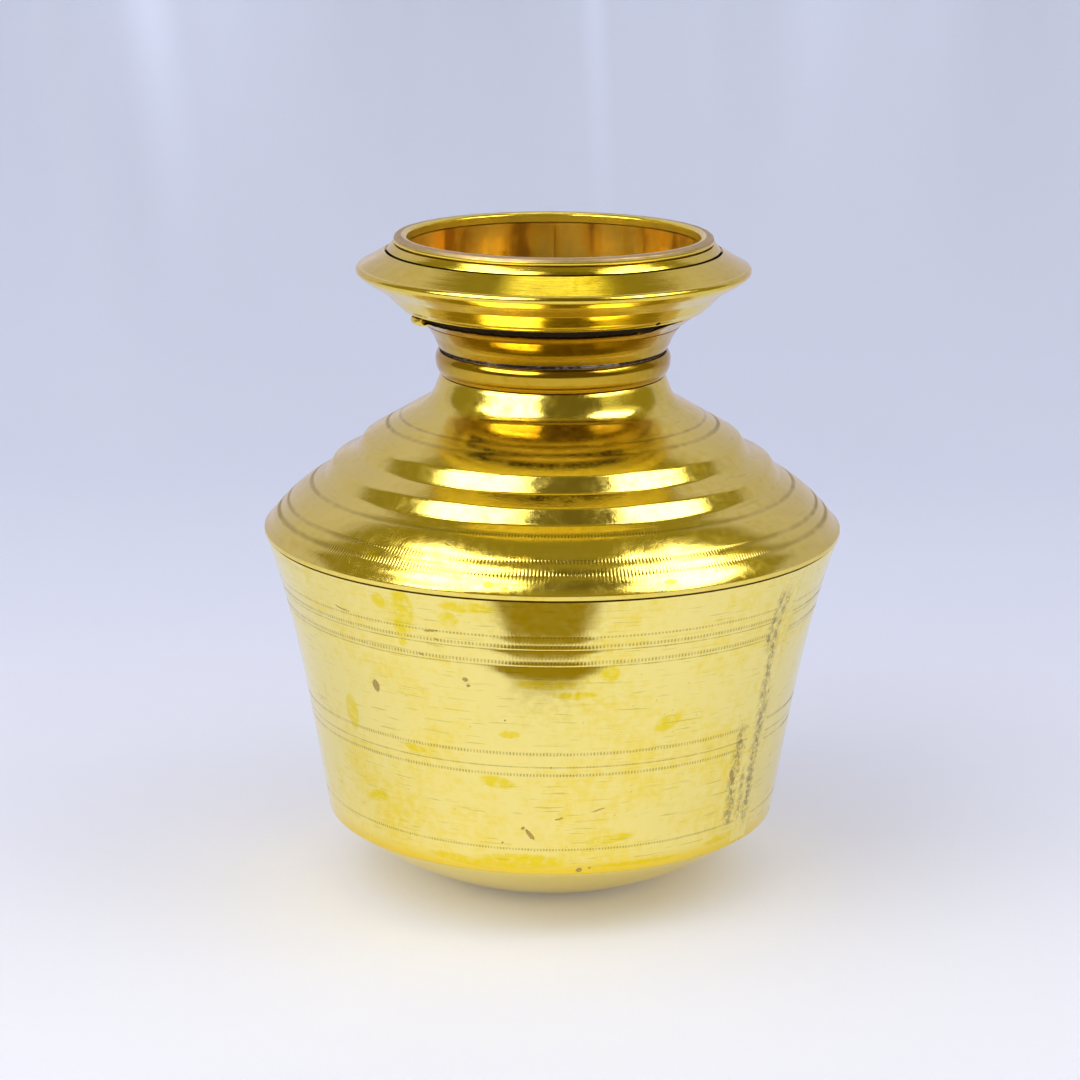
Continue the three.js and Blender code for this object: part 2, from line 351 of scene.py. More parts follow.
def revolve(name, loop, carve=None, skin=0, columns=COLUMNS, start=-180.0, stop=180.0, warp=None,
            inner_from=0):
    """Turns the closed loop of [radius, height] points round the axis.
    carve(azimuth, radius, height) moves the first `skin` points out along the section's normal,
    and warp(azimuth, height) moves every point outwards."""
    loop = np.array(loop, float)
    whole = stop - start >= 360
    azimuth = np.radians(np.linspace(start, stop, columns, endpoint=not whole))[:, None]
    run = np.roll(loop, -1, 0) - np.roll(loop, 1, 0)
    run /= np.maximum(np.linalg.norm(run, axis=1), 1e-9)[:, None]
    radius = np.repeat(loop[None, :, 0], columns, 0)
    height = np.repeat(loop[None, :, 1], columns, 0)
    if carve is not None:
        depth = np.zeros_like(radius)
        depth[:, :skin] = carve(azimuth, loop[None, :skin, 0], loop[None, :skin, 1])
        radius = radius + depth * run[None, :, 1]
        height = height - depth * run[None, :, 0]
    if warp is not None:
        radius = radius + warp(azimuth, height) * (radius > 1)
    points = np.stack([radius * np.sin(azimuth), -radius * np.cos(azimuth), height], -1)
    mesh = grid_mesh(name, points, whole)
    if inner_from:
        line_inside(mesh, len(loop), inner_from)
    if loop[:, 0].min() < 1e-6:
        merge_poles(mesh)
    return mesh


def tool_lines(lines):
    """Chased grooves with tooth marks, as a carve function."""
    def carve(azimuth, radius, height):
        depth = np.zeros((len(azimuth), radius.shape[1]))
        tooth = 0.5 + 0.5 * np.cos(TEETH * azimuth)
        for at, half, cut, toothed in lines:
            near = np.clip(1 - ((height - at) / half) ** 2, 0, 1)
            depth -= near * cut * (1 - toothed + toothed * 1.5 * tooth)
        return depth
    return carve


def turned(seed, height):
    """Fine rings left by turning: a small fixed step for every row of the section."""
    draw = np.random.default_rng(seed)

    def carve(azimuth, radius, at):
        rings = draw.uniform(-height, height, radius.shape[1])
        sway = 0.6 + 0.4 * np.sin(azimuth * 3 + seed)
        return rings[None, :] * sway
    return carve


def out_of_round(azimuth, height):
    """The slight unevenness of hand-rolled sheet, in millimetres."""
    wave = 0.05 * np.sin(2 * azimuth + 0.4) + 0.035 * np.sin(3 * azimuth + height / 31)
    wave = wave + 0.02 * np.sin(7 * azimuth + height / 13) + 0.012 * np.sin(13 * azimuth - height / 9)
    return wave * 0.8


def wall_radius(height):
    share = (np.asarray(height, float) - WALL_FOOT) / (WALL_TOP - WALL_FOOT)
    return sum(c * share ** i for i, c in enumerate(WALL_CUBIC))


def rows_near(lines):
    """Heights that give every tool line the rows it needs."""
    return [at + half * k for at, half, _, _ in lines for k in (-1, 0, 1)]


def wall_line():
    heights = np.linspace(WALL_FOOT + 0.9, WALL_TOP, 22).tolist() + rows_near(WALL_LINES)
    heights = np.unique(np.round(heights, 3))
    edge = [[wall_radius(WALL_FOOT) - 0.9, WALL_FOOT], [wall_radius(WALL_FOOT) - 0.3, WALL_FOOT + 0.1],
            [wall_radius(WALL_FOOT) + 0.02, WALL_FOOT + 0.45]]
    return edge + [[float(wall_radius(h)), float(h)] for h in heights] + WALL_HOOK


def make_wall(material, inside):
    outer = wall_line()
    loop, skin = sheet_loop(outer, SHEET, 6)
    half_slot = math.degrees(SEAM_SLOT / 2 / wall_radius(66))
    mesh = revolve("pot_wall", loop, tool_lines(WALL_LINES), skin, FINE_COLUMNS + 1,
                   SEAM_AZIMUTH + half_slot, SEAM_AZIMUTH - half_slot + 360, out_of_round, skin)
    return finish_mesh(mesh, material, "wall_brass", "wall", inside=inside)


def seam_height(across, height):
    """How far the brazed seam stands proud of the wall, across in millimetres from its middle."""
    rough = noise.fractal(Vector((across * 0.7, height * 0.2, 3.1)), 0.9, 2.1, 4)
    pits = noise.noise(Vector((across * 0.9, height * 0.45, 8.2)))
    middle = math.exp(-(across / 3.0) ** 2)
    return 0.04 + middle * (0.10 * max(0, rough) - 0.16 * max(0, pits - 0.15))


def make_seam(material):
    columns, rows = SEAM_COLUMNS, SEAM_GRID_ROWS
    across = np.linspace(-SEAM_HALF_WIDTH, SEAM_HALF_WIDTH, columns)
    heights = np.linspace(WALL_FOOT + 1.2, WALL_TOP - 0.05, rows)
    skin, rear = [], []
    for x in across:
        for z in heights:
            angle = math.radians(SEAM_AZIMUTH) + x / wall_radius(z)
            base = wall_radius(z) + float(out_of_round(angle, z))
            lift = seam_height(x, z)
            if abs(x) == SEAM_HALF_WIDTH or z in (heights[0], heights[-1]):
                lift = -0.1
            for line, radius in ((skin, base + lift), (rear, base - 0.5)):
                line.append([radius * math.sin(angle), -radius * math.cos(angle), z])
    front = np.array(skin).reshape(columns, rows, 3)
    back = np.array(rear).reshape(columns, rows, 3)[:, ::-1]
    mesh = grid_mesh("pot_wall_seam", np.concatenate([front, back], 1), False)
    return finish_mesh(mesh, material, "seam_braze", "wall_seam")


def dish_height(radius):
    centre = math.sqrt(DISH_CURVE_RADIUS ** 2 - FOOT_RADIUS ** 2)
    return centre - math.sqrt(DISH_CURVE_RADIUS ** 2 - radius ** 2)


def make_dish(material, inside):
    outer = [[0, 0], [9, 0], [18, 0], [25.5, 0]]
    outer += [[r, dish_height(r)] for r in np.linspace(FOOT_RADIUS + 1, DISH_RADIUS, 60)] + UPSTAND
    loop, skin = sheet_loop(outer, SHEET, 24)
    loop[-1, 0] = 0.0
    mesh = revolve("pot_base_dish", loop, inner_from=skin)
    return finish_mesh(mesh, material, "base_brass", "base_dish", inside=inside)


def make_braze(name, section, material, node):
    """A lumpy fillet of braze, from its section's corners."""
    loop = soften(section + [section[0], section[1]], 0.35, 3)[1:-1]

    def lumps(azimuth, height):
        return 0.05 * np.sin(41 * azimuth) + 0.04 * np.sin(97 * azimuth + height)
    mesh = revolve(name, np.array(loop), warp=lumps)
    return finish_mesh(mesh, material, "braze", node)


def shoulder_line():
    low = arc(SHOULDER_LOW, RIDGE_2_LOW, SHOULDER_BULGE, 9)
    heights = np.array([p[1] for p in low])
    radii = np.array([p[0] for p in low])
    extra = [h for h in rows_near(SHOULDER_LINES) if heights[0] < h < heights[-1]]
    heights_all = np.unique(np.concatenate([heights, extra]))
    lower = [[float(np.interp(h, heights, radii)), float(h)] for h in heights_all]
    middle = soften([lower[-2], RIDGE_2_LOW, RIDGE_2_TOP, RIDGE_1_LOW, RIDGE_1_TOP, ROOT_LOW], 0.6, 2)[1:-1]
    flat_rows = [h for h in rows_near(SHOULDER_LINES) if h > RIDGE_1_TOP[1]]
    flat = [[float(np.interp(h, [RIDGE_1_TOP[1], ROOT_LOW[1]], [RIDGE_1_TOP[0], ROOT_LOW[0]])), h]
            for h in sorted(flat_rows)]
    root = arc(ROOT_LOW, ROOT_TOP, ROOT_HOLLOW, 7)
    return SHOULDER_EDGE + lower[:-1] + middle + flat + root + NECK_STEP + SPIGOT


def dented(azimuth, height):
    """The shoulder's unevenness and its dents."""
    total = out_of_round(azimuth, height)
    for at, up, half_wide, half_high, depth in SHOULDER_DENTS:
        across = (azimuth - math.radians(at)) * ARC_RADIUS / half_wide
        total = total + depth * np.exp(-across ** 2 - ((height - up) / half_high) ** 2)
    return total


def make_shoulder(material, inside):
    outer = [[float(a), float(b)] for a, b in shoulder_line()]
    low = arc(SHOULDER_LOW, RIDGE_2_LOW, SHOULDER_BULGE, 2)
    root = arc(ROOT_LOW, ROOT_TOP, ROOT_HOLLOW, 2)
    corners = [SHOULDER_EDGE[0], *low, RIDGE_2_TOP, RIDGE_1_LOW, RIDGE_1_TOP, *root, *SPIGOT]
    skin = len(outer)
    loop = np.vstack([outer, mitred(corners, SHEET)[::-1]])
    mesh = revolve("pot_shoulder", loop, tool_lines(SHOULDER_LINES), skin, FINE_COLUMNS,
                   warp=dented, inner_from=skin)
    return finish_mesh(mesh, material, "shoulder_brass", "shoulder", inside=inside)


def make_bead(material, inside):
    low, edge, top = BEAD
    outer = arc(low, edge, BEAD_BULGE, 10) + arc(edge, top, BEAD_BULGE, 10)[1:]
    bore = [[BEAD_BORE, top[1]], [BEAD_BORE, low[1]]]
    loop = np.array(soften(outer + bore, 0.12, 1))
    mesh = revolve("pot_neck_bead", loop, turned(5, 0.01), 20, inner_from=len(loop) - 3)
    return finish_mesh(mesh, material, "neck_brass", "neck_bead", inside=inside)


def make_solder(material):
    bore, radius, low, top = SOLDER
    outer = [[bore, low], [radius - 0.1, low], [radius + 0.05, low + 0.15],
             [radius + 0.08, top - 0.15], [radius - 0.1, top], [bore, top]]

    def lumps(azimuth, radius_at, height):
        wave = np.sin(63 * azimuth) + np.sin(151 * azimuth + 1) + np.sin(29 * azimuth + 2)
        return 0.09 * np.maximum(wave - 0.4, -0.5) * (radius_at > 34.5)
    mesh = revolve("pot_neck_solder", np.array(outer), lumps, len(outer), 900)
    return finish_mesh(mesh, material, "solder", "neck_solder")


def make_tube(material, inside):
    outer = fine(soften(NECK_TUBE, 0.8, 4), 0.5)
    loop, skin = sheet_loop(outer)
    mesh = revolve("pot_neck_tube", loop, turned(11, 0.012), skin, inner_from=skin)
    return finish_mesh(mesh, material, "neck_brass", "neck_tube", inside=inside)


def tear_share(degrees):
    """Share of the flange's height that stands at this azimuth."""
    ragged = 0.05 * noise.noise(Vector((degrees * 0.35, 1.7, 0)))
    ragged += 0.03 * noise.noise(Vector((degrees * 1.3, 4.2, 0)))
    return float(np.interp(degrees, *zip(*TEAR))) + ragged * (TEAR[1][0] < degrees < TEAR[-2][0])


def flange_point(share, offset):
    """A point of the flange's skin, `offset` millimetres in from its outer face."""
    line = np.array(soften(FLANGE, 0.5, 3))
    length = np.concatenate([[0], np.cumsum(np.linalg.norm(np.diff(line, axis=0), axis=1))])
    at = share * length[-1]
    radius, height = (np.interp(at, length, line[:, k]) for k in (0, 1))
    slope = np.array([line[-1, 0] - line[0, 0], line[-1, 1] - line[0, 1]])
    slope /= np.linalg.norm(slope)
    return radius - slope[1] * offset, height + slope[0] * offset


def make_flange(material, inside):
    columns, rows = FLANGE_COLUMNS, FLANGE_ROWS
    points = []
    for column in range(columns):
        degrees = -180 + 360 * column / columns
        stand = tear_share(degrees)
        curl = sum(out * math.exp(-((degrees - at) / half) ** 2) for at, half, out in TEAR_CURLS)
        loop = []
        for offset, order in ((0.0, range(rows)), (0.9, range(rows - 1, -1, -1))):
            for row in order:
                share = stand * row / (rows - 1)
                radius, height = flange_point(share, offset)
                radius += curl * share * share
                loop.append([radius * math.sin(math.radians(degrees)),
                             -radius * math.cos(math.radians(degrees)), height])
        points.append(loop)
    mesh = grid_mesh("pot_neck_flange", np.array(points), True)
    line_inside(mesh, 2 * rows, rows)
    return finish_mesh(mesh, material, "neck_brass", "neck_flange", inside=inside)


def make_flap(material):
    """The curl of metal left hanging at the left end of the tear."""
    outer = fine(soften(FLAP, 0.5, 3), 0.4)
    loop = sheet_loop(outer, 0.45, 8)[0]
    left, right = FLAP_AZIMUTHS

    def twist(azimuth, height):
        across = (np.degrees(azimuth) - left) / (right - left)
        return 0.7 * np.sin(across * math.pi) * (FLAP_TOP - height) / 3 - 0.3 * across
    mesh = revolve("pot_tear_flap", loop, columns=18, start=left, stop=right, warp=twist)
    return finish_mesh(mesh, material, "neck_brass")


def make_shade_crust(material, inside):
    """Nearly black filler behind the tear, all along it: painted shade that keeps the gap dark, with old
    dirt and flux in it.
    """
    front = fine(SHADE_CRUST_FRONT, 0.6)
    back = fine(SHADE_CRUST_BACK, 0.6)
    lump_at, half, high = SHADE_CRUST_LUMP

    def lumps(azimuth, height):
        lump = high * np.exp(-((np.degrees(azimuth) - lump_at) / half) ** 2)
        return 0.12 * np.sin(47 * azimuth) + 0.1 * np.sin(113 * azimuth + height) - 0.1 + lump
    mesh = revolve("pot_tear_shade_crust", np.array(front + back), columns=360, start=TEAR[0][0] - 2,
                   stop=TEAR[-1][0] + 1, warp=lumps, inner_from=len(front))
    return finish_mesh(mesh, material, "solder", inside=inside)


def make_rim(material, inside):
    outer = soften([RIM_LOW_RING, *RIM_UNDERSIDE, RIM_EDGE[0]], 0.35, 3)[:-1]
    outer += arc(RIM_EDGE[0], RIM_EDGE[1], RIM_EDGE_BULGE, 12)
    outer = outer + fine([RIM_EDGE[1], RIM_SLOPE_TOP], 0.28)[1:]
    outer = fine(outer, 0.6)
    loop, skin = sheet_loop(outer, SHEET, 20)
    mesh = revolve("pot_rim_shell", loop, turned(17, 0.014), skin, inner_from=skin)
    return finish_mesh(mesh, material, "rim_brass", "rim_shell", inside=inside)


def make_band(material):
    outer = fine(soften(BAND, 0.18, 3), 0.4)
    mesh = revolve("pot_lip_band", np.array(outer), turned(23, 0.003), len(outer))
    return finish_mesh(mesh, material, "rim_brass", "lip_band")


def make_lip(material):
    outer = fine(soften(LIP + [LIP[0]], 0.25, 3), 0.35)[:-1]

    def worn(azimuth, radius, height):
        return 0.02 * np.sin(37 * azimuth + radius) * (height > 203) - 0.01
    mesh = revolve("pot_lip_ring", np.array(outer), worn, len(outer))
    return finish_mesh(mesh, material, "lip_brass", "lip_ring")


def make_liner(material):
    outer = fine([[MOUTH_RADIUS + 1, LINER_LOW], [MOUTH_RADIUS + 1, LINER_TOP]], 1)
    inner = fine([[MOUTH_RADIUS, LINER_TOP], [MOUTH_RADIUS, LINER_LOW]], 0.5)
    loop = np.array(outer + inner)

    def panels(azimuth, height):
        return 0.05 * np.sin(5 * azimuth + 1) + 0.03 * np.sin(11 * azimuth)
    mesh = revolve("pot_mouth_liner", loop, warp=panels)
    return finish_mesh(mesh, material, "liner_brass", "mouth_liner")


# ---- materials

def add(tree, kind, *inputs, out=0, **settings):
    """Adds a shader node, sets or links its inputs in order, and returns one of its outputs."""
    node = tree.nodes.new("ShaderNode" + kind)
    for key, value in settings.items():
        setattr(node, key, value)
    for index, value in enumerate(inputs):
        if isinstance(value, bpy.types.NodeSocket):
            tree.links.new(value, node.inputs[index])
        elif value is not None:
            node.inputs[index].default_value = value
    return node.outputs[out]


def maths(tree, operation, *values):
    return add(tree, "Math", *values, operation=operation)


def times(tree, a, b):
    return maths(tree, "MULTIPLY", a, b)


def plus(tree, a, b):
    return maths(tree, "ADD", a, b)


def centred(tree, value):
    """A noise value moved down, so that it swings round zero."""
    return maths(tree, "SUBTRACT", value, 0.5)


def split(tree, vector):
    """The X, Y and Z of a vector."""
    parts = tree.nodes.new("ShaderNodeSeparateXYZ")
    tree.links.new(vector, parts.inputs[0])
    return parts.outputs


def blend(tree, amount, a, b, mode="MIX"):
    return add(tree, "Mix", amount, None, None, None, None, None, a, b,
               out=2, data_type="RGBA", blend_type=mode)


def stain(tree, colour, mask, strength, tint):
    return blend(tree, times(tree, mask, strength), colour, tint)


def remap(tree, value, low, high, to_low=0.0, to_high=1.0, kind="SMOOTHSTEP"):
    return add(tree, "MapRange", value, low, high, to_low, to_high, interpolation_type=kind)


def noise_at(tree, vector, scale, detail=3.0, roughness=0.55):
    return add(tree, "TexNoise", vector, None, scale, detail, roughness)


def start_material(name):
    material = bpy.data.materials.new(name)
    material.use_nodes = True
    tree = material.node_tree
    return material, tree, tree.nodes["Principled BSDF"]


def coordinates(tree, lean):
    """Millimetre coordinates: plain, unrolled (arc length, height) and along the turned rings."""
    place = add(tree, "TexCoord", out=3)
    plain = add(tree, "VectorMath", place, None, None, 1000.0, operation="SCALE")
    x, y, z = split(tree, plain)
    azimuth = maths(tree, "ARCTAN2", x, times(tree, y, -1.0))
    radius = maths(tree, "SQRT", plus(tree, times(tree, x, x), times(tree, y, y)))
    unrolled = add(tree, "CombineXYZ", times(tree, azimuth, ARC_RADIUS), z, 0.0)
    along = plus(tree, z, times(tree, radius, lean))
    rings = add(tree, "CombineXYZ", times(tree, x, 0.03),
                times(tree, y, 0.03), along)
    return plain, unrolled, rings, z, radius, azimuth


def marks(tree, unrolled, ragged, spots):
    """A mask that is 1 inside any of the ellipses [azimuth, height, half length, half height, turn]."""
    total = None
    wander = add(tree, "VectorMath", ragged, (0.5, 0.5, 0.5), operation="SUBTRACT")
    wander = add(tree, "VectorMath", wander, None, None, MARK_WANDER, operation="SCALE")
    moved = add(tree, "VectorMath", unrolled, wander, operation="ADD")
    for azimuth, height, half_long, half_high, turn in spots:
        middle = (math.radians(azimuth) * ARC_RADIUS, height, 0)
        local = add(tree, "Mapping", moved, middle, (0, 0, math.radians(turn)),
                    (half_long, half_high, 1), vector_type="TEXTURE")
        far = add(tree, "VectorMath", local, operation="LENGTH", out=1)
        inside = remap(tree, far, 1.15, 0.75)
        total = inside if total is None else maths(tree, "MAXIMUM", total, inside)
    return total


def specks(tree, vector, scale, size, share):
    """Scattered small specks: `share` of the cells hold one."""
    cell = tree.nodes.new("ShaderNodeTexVoronoi")
    tree.links.new(vector, cell.inputs[0])
    cell.inputs["Scale"].default_value = scale
    chosen = add(tree, "SeparateColor", cell.outputs[1])
    keep = maths(tree, "LESS_THAN", chosen, share)
    return times(tree, remap(tree, cell.outputs[0], size, size * 0.5), keep)


def tooth_dirt_and_shade(tree, z, azimuth, patchy, lines):
    """Dirt and painted shade in the chased lines, darkening the hollows of their teeth."""
    tooth = maths(tree, "COSINE", times(tree, azimuth, float(TEETH)))
    tooth = remap(tree, tooth, -0.4, 0.6)
    total = None
    for at, half, _, toothed in lines:
        off = maths(tree, "ABSOLUTE", maths(tree, "SUBTRACT", z, at))
        inside = remap(tree, off, half * 1.1, half * 0.5)
        held = remap(tree, tooth, 0.0, 1.0, 1.0 - toothed, 1.0, "LINEAR")
        part = times(tree, inside, held)
        total = part if total is None else maths(tree, "MAXIMUM", total, part)
    return times(tree, total, remap(tree, patchy, 0.3, 0.65, 0.4, 0.95))


def seam_dirt(tree, unrolled, z, plain):
    """Stain and pits along the seam: rough upright rows of dark strokes."""
    arc_length = split(tree, unrolled)[0]
    wander = noise_at(tree, add(tree, "CombineXYZ", 3.0, times(tree, z, 0.05), 0.0), 1.0, 2.0)
    wander = times(tree, centred(tree, wander), 5.5)
    arc_at = plus(tree, arc_length, wander)
    stretched = add(tree, "CombineXYZ", arc_at, times(tree, z, 0.5), 0.0)
    strokes = remap(tree, noise_at(tree, stretched, 1.0, 6.0, 0.85), 0.47, 0.60)
    pitted = stained = None
    for azimuth, half, low, high, share in SEAM_ROWS:
        off = maths(tree, "ABSOLUTE", maths(tree, "SUBTRACT", arc_at, math.radians(azimuth) * ARC_RADIUS))
        along = times(tree, remap(tree, z, low, low + 6), remap(tree, z, high, high - 7))
        row = times(tree, remap(tree, off, half * 1.25, half * 0.3), along)
        row = times(tree, row, share)
        smear = times(tree, remap(tree, off, half * 2.6, half * 0.5), along)
        pitted = row if pitted is None else maths(tree, "MAXIMUM", pitted, row)
        stained = smear if stained is None else maths(tree, "MAXIMUM", stained, smear)
    blotchy = remap(tree, noise_at(tree, plain, 0.5, 5.0, 0.75), 0.43, 0.62)
    return times(tree, stained, blotchy), times(tree, pitted, strokes)


def brass(name, base, rich, roughness, rough_swing=0.08, grain=0.0, streak=0.0, lean=-1.0, dent=0.0,
          tarnish=(), dirt=(), speck_share=0.06, metal=1.0, rich_share=(0.45, 0.75), grain_scale=2.2,
          lines=(), seam=0.0, scratched=0.0, foot_band=None):
    """Worn brass. base and rich are its pale and its deep colour; grain, streak and dent are the
    heights of the bumps in thousandths of a millimetre; lean tells how its turned rings slope; tarnish
    and dirt are lists of marks; lines are tool lines whose tooth hollows get dirt and painted shade;
    seam is the strength of the pits along the wall's seam; foot_band is the pair of heights between
    which a deep yellow lower edge fades out."""
    material, tree, shader = start_material(name)
    plain, unrolled, rings, z, _, azimuth = coordinates(tree, lean)
    cloud = noise_at(tree, plain, 0.035, 4.0, 0.6)
    fine_cloud = noise_at(tree, plain, 0.35, 3.0, 0.6)
    ring_tone = noise_at(tree, rings, 1.6, 4.0, 0.7)
    patchy = plus(tree, times(tree, cloud, 0.6), times(tree, fine_cloud, 0.4))
    patchy = plus(tree, patchy, times(tree, centred(tree, ring_tone), 0.25))
    colour = blend(tree, remap(tree, patchy, *rich_share), (*base, 1), (*rich, 1))
    ragged = add(tree, "TexNoise", plain, None, 0.5, 4.0, 0.7, out=1)
    if tarnish:
        faded = remap(tree, fine_cloud, 0.25, 0.6, 0.25, 0.85)
        colour = stain(tree, colour, marks(tree, unrolled, ragged, tarnish), faded, TARNISH_COLOUR)
    if scratched:
        for turn, low in SCRATCH_TURNS:
            hair = add(tree, "Mapping", unrolled, (0, 0, turn), (0, 0, math.radians(turn)),
                       (0.055, 1.5, 1))
            hair = remap(tree, noise_at(tree, hair, 1.0, 2.0, 0.6), low, low + 0.035)
            colour = stain(tree, colour, hair, scratched, SCRATCH_COLOUR)
    if lines:
        # painted shade: the tool lines' tooth hollows turn darker, along with their dirt
        colour = blend(tree, tooth_dirt_and_shade(tree, z, azimuth, fine_cloud, lines), colour, LINE_DIRT_AND_SHADE_COLOUR)
    if foot_band:
        low = remap(tree, plus(tree, z, times(tree, patchy, 5.0)), *foot_band)
        colour = stain(tree, colour, low, 0.75, FOOT_BAND_COLOUR)
    if seam:
        stained, pitted = seam_dirt(tree, unrolled, z, plain)
        colour = stain(tree, colour, stained, 0.8 * seam, SEAM_STAIN_COLOUR)
        colour = stain(tree, colour, pitted, 0.85 * seam, SEAM_PIT_COLOUR)
    colour = stain(tree, colour, specks(tree, plain, 0.14, 0.06, speck_share), 0.75, SPECK_COLOUR)
    colour = stain(tree, colour, specks(tree, plain, 0.42, 0.11, speck_share * 0.7), 0.6, DOT_COLOUR)
    rough = remap(tree, fine_cloud, 0.3, 0.7, roughness - rough_swing, roughness + rough_swing, "LINEAR")
    if dirt:
        mask = marks(tree, unrolled, ragged, dirt)
        colour = blend(tree, mask, colour, SPOT_EDGE_COLOUR)
        colour = blend(tree, remap(tree, mask, 0.90, 1.0, 0.0, 0.8), colour, SPOT_COLOUR)
        rough = plus(tree, rough, times(tree, mask, 0.3))
    tree.links.new(colour, shader.inputs["Base Color"])
    tree.links.new(rough, shader.inputs["Roughness"])
    shader.inputs["Metallic"].default_value = metal
    normal = None
    for height, vector, scale, detail in (
            (dent, plain, 0.05, 2.0), (streak, rings, 2.2, 4.0), (grain, plain, grain_scale, 2.0)):
        if height:
            bumps = noise_at(tree, vector, scale, detail, 0.6)
            normal = add(tree, "Bump", 1.0, height * MICRON, None, bumps, normal)
    if normal is not None:
        tree.links.new(normal, shader.inputs["Normal"])
    return material


def polish_lip(material, polished):
    """Gives the lip's inner face and its sides the polished colour; only its top stays matt."""
    tree = material.node_tree
    shader = tree.nodes["Principled BSDF"]
    z, radius = coordinates(tree, 0.0)[3:5]
    bore = remap(tree, radius, LIP_MATT[0] + 0.2, LIP_MATT[0] - 0.2)
    side = remap(tree, z, LIP_MATT[1], LIP_MATT[1] - 0.5)
    smooth = maths(tree, "MAXIMUM", bore, side)
    colour = shader.inputs["Base Color"].links[0].from_socket
    rough = shader.inputs["Roughness"].links[0].from_socket
    tree.links.new(blend(tree, smooth, colour, (*polished, 1)), shader.inputs["Base Color"])
    rough = add(tree, "Mix", smooth, None, rough, 0.16, data_type="FLOAT")
    tree.links.new(rough, shader.inputs["Roughness"])


def upright_bands(material, dark, pale):
    """Adds soft darker and paler bands that run up the piece."""
    tree = material.node_tree
    shader = tree.nodes["Principled BSDF"]
    z, _, azimuth = coordinates(tree, 0.0)[3:6]
    around = add(tree, "CombineXYZ", times(tree, azimuth, 3.2), times(tree, z, 0.02), 0.0)
    band = noise_at(tree, around, 1.0, 3.0, 0.6)
    colour = shader.inputs["Base Color"].links[0].from_socket
    colour = blend(tree, remap(tree, band, 0.50, 0.38), colour, (*dark, 1))
    colour = blend(tree, remap(tree, band, 0.50, 0.60), colour, (*pale, 1))
    tree.links.new(colour, shader.inputs["Base Color"])


def wall_marks():
    """Marks on the wall as [azimuth, height, half length, half height, turn]."""
    tarnish = [
        [-29.6, 106, 3.4, 6.5, 0], [-31, 98, 2.0, 5.0, 0], [-35, 107, 2.2, 2.6, 0],
        [-31.5, 59.7, 4.0, 1.3, -6], [-8.7, 67.9, 3.6, 1.2, 4], [-7, 26, 15.0, 2.6, 0],
        [-22, 25.0, 12.0, 1.4, -3], [47, 26, 9.0, 1.1, 3], [-1, 84.5, 9.0, 1.6, 0],
        [22, 24.2, 16.0, 0.7, 0], [-16, 108.5, 8.0, 1.8, 0], [-20, 104, 3.0, 2.5, 0],
        [5, 81, 7.0, 1.2, 0], [12, 88, 3.0, 3.0, 0], [26, 70, 5.0, 2.5, 20],
        [-12, 52, 6.0, 2.0, -8], [14, 33, 9.0, 1.5, 5], [-45, 40, 5.0, 2.0, 10],
        [-50, 66, 3.0, 6.0, 0],
    ]
    dirt = [
        [-40.2, 77.7, 1.3, 2.0, 12], [-17.7, 84.9, 0.9, 0.6, 0], [-17.2, 82.9, 0.6, 0.5, 0],
        [-4.7, 35.1, 2.2, 0.7, -48], [-6.3, 37.2, 0.7, 0.5, 0], [9.6, 23.8, 0.4, 0.4, 0],
        [7.0, 23.3, 1.2, 0.7, 0], [2, 40.5, 1.5, 0.35, 10], [11, 43.0, 2.4, 0.2, 14],
        [-24, 99.6, 2.4, 0.35, 4], [-23, 97.2, 0.9, 0.3, -20], [-27, 91.5, 0.8, 0.3, -20],
        [-46, 101.0, 3.0, 0.25, -8], [47.2, 46.8, 0.9, 1.9, 10], [48, 44.5, 0.8, 1.4, -20],
    ]
    return tarnish, dirt


def make_lip_finish():
    """Matt worn top, polished inner face and sides."""
    lip = brass("lip_brass", (0.50, 0.36, 0.19), (0.42, 0.28, 0.12), 0.5, 0.1, grain=6, streak=2,
                dent=10, metal=0.8)
    polish_lip(lip, (0.88, 0.68, 0.07))
    return lip


def make_liner_finish():
    liner = brass("liner_brass", (0.90, 0.60, 0.06), (0.82, 0.46, 0.025), 0.2, 0.06, grain=1, lean=0,
                  dent=30, tarnish=[[-173, 193, 0.5, 9, 0]], metal=0.78)
    upright_bands(liner, (0.50, 0.26, 0.02), (0.95, 0.72, 0.12))
    return liner


def make_shade_crust_finish():
    # nearly black and matt: painted shade in the tear's gap, with dirt and flux
    shade_crust = brass("dirt_and_shade_crust", (0.018, 0.012, 0.007), (0.006, 0.004, 0.003), 0.85, 0.1, grain=40,
                  metal=0.0, speck_share=0.0)
    shade_crust.node_tree.nodes["Principled BSDF"].inputs["Specular IOR Level"].default_value = 0.08
    return shade_crust


